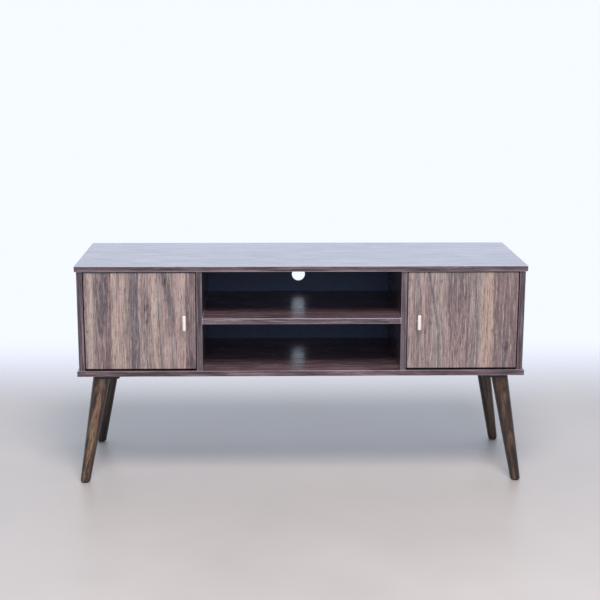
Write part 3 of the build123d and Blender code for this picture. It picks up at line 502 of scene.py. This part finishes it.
def leg_wood(name, shift):
    """Dark stained solid wood, its grain down the leaning leg, with painted shade on its sides and
    on the legs in shade.
    """
    lit_share = LEG_LIT_SHARE[name.removesuffix("_leg")]
    paint = Paint(name)
    across_x = paint.plus(paint.math("ABSOLUTE", paint.x), paint.times(paint.z, LEG_LEAN))
    across_y = paint.plus(paint.y, paint.times(paint.z, LEG_GRAIN_LEAN))
    length = paint.plus(paint.z, shift)

    def streaks(lengthwise, crosswise, detail=3.0, roughness=0.55):
        scales = (crosswise, crosswise, lengthwise)
        return paint.stretched_noise((across_x, across_y, length), scales, detail, roughness)

    broad = streaks(6.0, 48.0, 3.0)
    mottle = streaks(26.0, 75.0, 4.0, 0.65)
    medium = streaks(12.0, 190.0, 4.0, 0.6)
    fine = streaks(50.0, 900.0, 3.0)
    paint.colour = paint.ramp(
        broad,
        (0.34, shaded(srgb(50, 30, 25), lit_share)),
        (0.46, shaded(srgb(104, 70, 55), lit_share)),
        (0.54, shaded(srgb(144, 110, 88), lit_share)),
        (0.64, shaded(srgb(76, 55, 49), lit_share)),
    )
    paint.lay_high(mottle, 0.50, 0.66, 0.55 * lit_share, shaded(srgb(156, 138, 110), lit_share))
    paint.lay_high(medium, 0.50, 0.62, 0.85, srgb(36, 22, 19))
    paint.lay_high(fine, 0.54, 0.70, 0.55, srgb(34, 21, 18))
    # painted shade: the sides of each leg are painted darker than the paler middle, as a round leg
    # lit from the front shades towards its sides
    radius = paint.plus(paint.times(paint.z, LEG_FLARE), LEG_FOOT_RADIUS)
    side = paint.math("DIVIDE", paint.minus(across_x, LEG_FOOT_X), radius)
    side = paint.plus(paint.math("ABSOLUTE", side), paint.swing(mottle, 0.2))
    paint.lay_high(side, 0.25, 0.90, 0.90, srgb(34, 20, 16))
    paint.bump(paint.minus(paint.times(medium, 0.4), fine), 0.12, 0.4 * MM)
    return paint.finish(paint.vary(medium, 0.30, 0.42), Coat_Weight=0.25, Coat_Roughness=0.15)


def back_board(name):
    """Dark coated fibreboard, greyer behind, brown and raw where it was cut."""
    paint = BoardPaint(name)
    haze = paint.even_noise(60.0)
    grain = paint.even_noise(900.0)
    paint.colour = paint.ramp(haze, (0.30, srgb(84, 94, 124)), (0.70, srgb(92, 103, 135)))
    paint.lay_high(grain, 0.5, 0.7, 0.3, srgb(70, 76, 100))
    to_rear = paint.minus(paint.high.y, paint.y)
    on_rear = paint.span(to_rear, 0.1 * MM, 0.2 * MM, 1.0, 0.0)
    paint.lay(paint.times(on_rear, 0.9), srgb(58, 55, 56))
    raw = paint.ramp(grain, (0.35, srgb(96, 72, 52)), (0.65, srgb(134, 104, 76)))
    to_edge = paint.least(paint.depths[0], paint.depths[2])
    on_edge = paint.span(to_edge, 0.1 * MM, 0.2 * MM, 1.0, 0.0)
    paint.lay(paint.math("MAXIMUM", paint.in_core(), on_edge), raw)
    paint.bump(grain, 0.10, 0.2 * MM)
    return paint.finish(paint.vary(haze, 0.45, 0.60))


def metal(name, colour, roughness, metallic, scratch=0.0):
    """Plated or cast metal with a faint haze and fine scratches."""
    paint = Paint(name)
    haze = paint.even_noise(120.0)
    grit = paint.even_noise(2600.0, 2.0)
    paint.colour = paint.mix(paint.vary(haze, 0.0, 1.0), shaded(colour, 0.90), colour)
    paint.lay_high(grit, 0.6, 0.7, scratch, shaded(colour, 0.55))
    paint.bump(grit, 0.04 + 0.2 * scratch, 0.05 * MM)
    return paint.finish(paint.vary(haze, 0.8 * roughness, 1.2 * roughness), Metallic=metallic)


def matt(name, dark, light, scale, roughness, relief):
    """Plastic, powder coat, ceramic or bare wood: two tones of fine grain."""
    paint = Paint(name)
    grain = paint.even_noise(scale)
    haze = paint.even_noise(scale / 12)
    paint.colour = paint.mix(paint.vary(haze, 0.0, 1.0), dark, light)
    paint.lay_high(grain, 0.45, 0.70, 0.4, dark)
    paint.bump(grain, relief, 0.2 * MM)
    return paint.finish(paint.vary(grain, 0.85 * roughness, 1.1 * roughness))


SLOT_PAINTS = {
    "pale_brass": metal("pale_brass", srgb(255, 250, 238), 0.34, 0.15),
    "nickel_steel": metal("nickel_steel", srgb(208, 204, 198), 0.26, 0.75),
    "zinc_steel": metal("zinc_steel", srgb(188, 192, 198), 0.30, 0.75, 0.3),
    "cam_metal": metal("cam_metal", srgb(156, 156, 158), 0.45, 0.75, 0.6),
    "catch_plastic": matt("catch_plastic", srgb(58, 40, 32), srgb(74, 54, 44), 1400.0, 0.45, 0.08),
    "magnet": matt("magnet", srgb(30, 30, 33), srgb(48, 48, 52), 1800.0, 0.55, 0.15),
    "black_steel": matt("black_steel", srgb(16, 16, 18), srgb(28, 28, 30), 2200.0, 0.42, 0.20),
    "glide_plastic": matt("glide_plastic", srgb(44, 36, 32), srgb(60, 50, 45), 1500.0, 0.50, 0.08),
    "beech": matt("beech", srgb(176, 138, 98), srgb(214, 180, 140), 900.0, 0.60, 0.10),
}


def material_for(name, slot, shift):
    """The material of one CAD node; boards and legs get their own, the rest share a slot's."""
    if slot == "door_laminate":
        return door_laminate(name, name.split("_")[0])
    if slot == "carcass_laminate":
        upright = "side" in name or "divider" in name
        return carcass_laminate(name, "Z" if upright else "X", shift)
    if slot == "leg_wood":
        return leg_wood(name, shift)
    if slot == "back_board":
        return back_board(name)
    return SLOT_PAINTS[slot]


SHIFT_STEP = 1.7        # metres between the noise of one piece and the next
for count, part in enumerate(frame["record"]["subparts"]):
    node = nodes[part["node"]]
    material = material_for(part["node"], part["material_slot"], SHIFT_STEP * count)
    node.data.materials.clear()
    node.data.materials.append(material)
    for face in node.data.polygons:
        face.material_index = 0


# ---- studio ----
BACK_LIGHT = (0.92, 0.97, 1.12, 1.0)      # the pale backdrop behind the stand
FRONT_LIGHT = (0.33, 0.345, 0.37, 1.0)    # the dimmer room in front of it
HIGH_TINT = (1.18, 1.29, 1.34, 1.0)       # both are bluer higher up, where the top mirrors them
# where the light changes: shares of the way from straight sideways to straight back or up
TURN_BACK = (0.0, 0.52)
TURN_HIGH = (0.03, 0.20)
FLOOR_SIZE = 20.0                         # metres
FLOOR_FADE = (1.6, 4.5)                   # metres: the floor melts into the backdrop
FLOOR_BACK_FADE = (0.45, 1.5)             # and sooner behind the stand


def backdrop():
    """Light all round, pale behind the stand and dimmer in front of it."""
    world = bpy.data.worlds.new("studio")
    bpy.context.scene.world = world
    world.use_nodes = True
    sky = Nodes(world.node_tree)
    way = sky.add("ShaderNodeTexCoord").outputs["Generated"]
    split = sky.fed("ShaderNodeSeparateXYZ", way)
    back = sky.span(split.outputs["Y"], *TURN_BACK)
    high = sky.span(split.outputs["Z"], *TURN_HIGH)
    light = sky.mix(back, FRONT_LIGHT, BACK_LIGHT)
    light = sky.mix(high, light, HIGH_TINT, "MULTIPLY")
    sky.feed(sky.tree.nodes["Background"].inputs["Color"], light)


def floor():
    """A plain pale floor that fades out into the backdrop."""
    bpy.ops.mesh.primitive_plane_add(size=FLOOR_SIZE, location=(0, 0, 0))
    plane = bpy.context.object
    plane.name = "floor"
    paint = Paint("floor")
    haze = paint.even_noise(3.0)
    paint.colour = paint.ramp(haze, (0.3, srgb(176, 166, 160)), (0.7, srgb(184, 174, 168)))
    material = paint.finish(paint.vary(haze, 0.42, 0.50))
    flat = paint.join(paint.x, paint.y, 0.0)
    reach = paint.fed("ShaderNodeVectorMath", flat, operation="LENGTH").outputs["Value"]
    far = paint.span(reach, *FLOOR_FADE)
    behind = paint.span(paint.y, *FLOOR_BACK_FADE)
    clear = paint.add("ShaderNodeBsdfTransparent").outputs[0]
    faded = paint.math("MAXIMUM", far, behind)
    blend = paint.fed("ShaderNodeMixShader", faded, paint.shader.outputs[0], clear)
    paint.feed(paint.tree.nodes["Material Output"].inputs["Surface"], blend.outputs[0])
    plane.data.materials.append(material)


# name, place, the point it faces, size, power in watts, colour
LIGHTS = (
    ("overhead", (0.15, -1.90, 3.0), (0.0, 0.0, 0.4), 1.4, 100, (1.0, 0.965, 0.95)),
    ("front_fill", (0.3, -3.6, 1.7), (0.0, 0.0, 0.3), 1.6, 14, (0.78, 0.90, 1.20)),
)


def lights():
    """Soft round lights above and in front."""
    for name, place, target, size, power, colour in LIGHTS:
        light = bpy.data.objects.new(name, bpy.data.lights.new(name, "AREA"))
        light.data.shape = "DISK"
        light.data.size = size
        light.data.energy = power
        light.data.color = colour
        light.location = place
        aim = Vector(target) - Vector(place)
        light.rotation_euler = aim.to_track_quat("-Z", "Y").to_euler()
        bpy.context.scene.collection.objects.link(light)


def camera():
    """A long lens at the photograph's place."""
    lens = bpy.data.cameras.new("camera")
    lens.lens = CAMERA_LENS
    lens.sensor_width = CAMERA_SENSOR
    eye = bpy.data.objects.new("camera", lens)
    turn = Matrix.Rotation(-CAMERA_YAW, 4, "Z")
    tilt = Matrix.Rotation(math.pi / 2 - CAMERA_PITCH, 4, "X")
    roll = Matrix.Rotation(CAMERA_ROLL, 4, "Z")
    eye.matrix_world = Matrix.Translation(CAMERA_PLACE) @ turn @ tilt @ roll
    bpy.context.scene.collection.objects.link(eye)
    bpy.context.scene.camera = eye


backdrop()
floor()
lights()
camera()
bpy.context.scene.view_settings.view_transform = "Standard"
